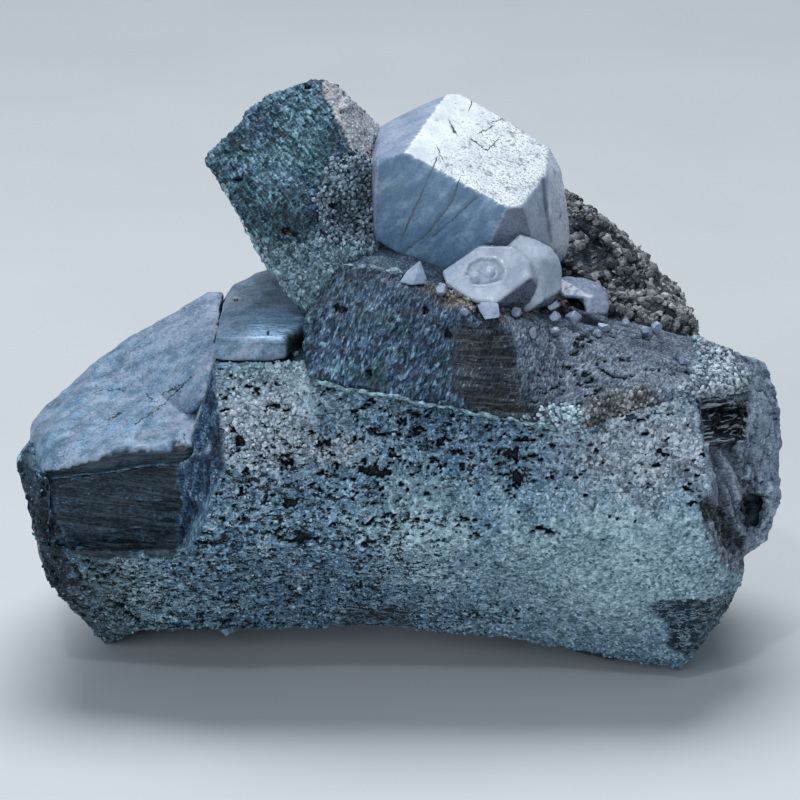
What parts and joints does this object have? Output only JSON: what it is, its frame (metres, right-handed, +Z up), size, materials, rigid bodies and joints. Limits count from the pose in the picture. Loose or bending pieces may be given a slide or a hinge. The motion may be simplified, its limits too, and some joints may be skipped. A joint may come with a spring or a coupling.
{
  "type": "hydroxylapatite with hornblende specimen",
  "caption": "Cluster of milky white hydroxylapatite prisms and pale plates grown on a crusted blue-green hornblende rock that stands on two feet with an open arch between them",
  "frame": {"origin": "on the floor under the middle of the specimen's bounding box", "axes": "+X to the right as seen from the front, +Y to the back, +Z up; the crusted face looks towards -Y"},
  "size_m": [0.0943, 0.0536, 0.0764],
  "materials": {
    "crusted_hornblende": "blue-green grey rock under a sparkling fine crystal crust with small dark pits",
    "hornblende": "dark blue-green fibrous cleavage with silky striations, crusted beige in the hollows",
    "pale_plate": "pale blue-white silky plate with fine striations and hairline cracks",
    "apatite": "opaque milky blue-white crystal with smooth glossy faces"
  },
  "bodies": {
    "root": {"hornblende_main_block": "crusted_hornblende", "hornblende_middle_block": "hornblende", "hornblende_back_block": "hornblende", "hornblende_upper_crystal": "hornblende", "pale_plate_left": "pale_plate", "pale_plate_right": "pale_plate", "hydroxylapatite_large_crystal": "apatite", "hydroxylapatite_twin_crystals": "apatite", "hydroxylapatite_side_crystal": "apatite", "hydroxylapatite_chip": "apatite", "hydroxylapatite_small_block": "apatite", "hydroxylapatite_granule_01": "apatite", "hydroxylapatite_granule_02": "apatite", "hydroxylapatite_granule_03": "apatite", "hydroxylapatite_granule_04": "apatite", "hydroxylapatite_granule_05": "apatite", "hydroxylapatite_granule_06": "apatite", "hydroxylapatite_granule_07": "apatite", "hydroxylapatite_granule_08": "apatite", "hydroxylapatite_granule_09": "apatite", "hydroxylapatite_granule_10": "apatite", "hydroxylapatite_granule_11": "apatite", "hydroxylapatite_granule_12": "apatite", "hydroxylapatite_granule_13": "apatite", "hydroxylapatite_granule_14": "apatite"}
  },
  "joints": []
}
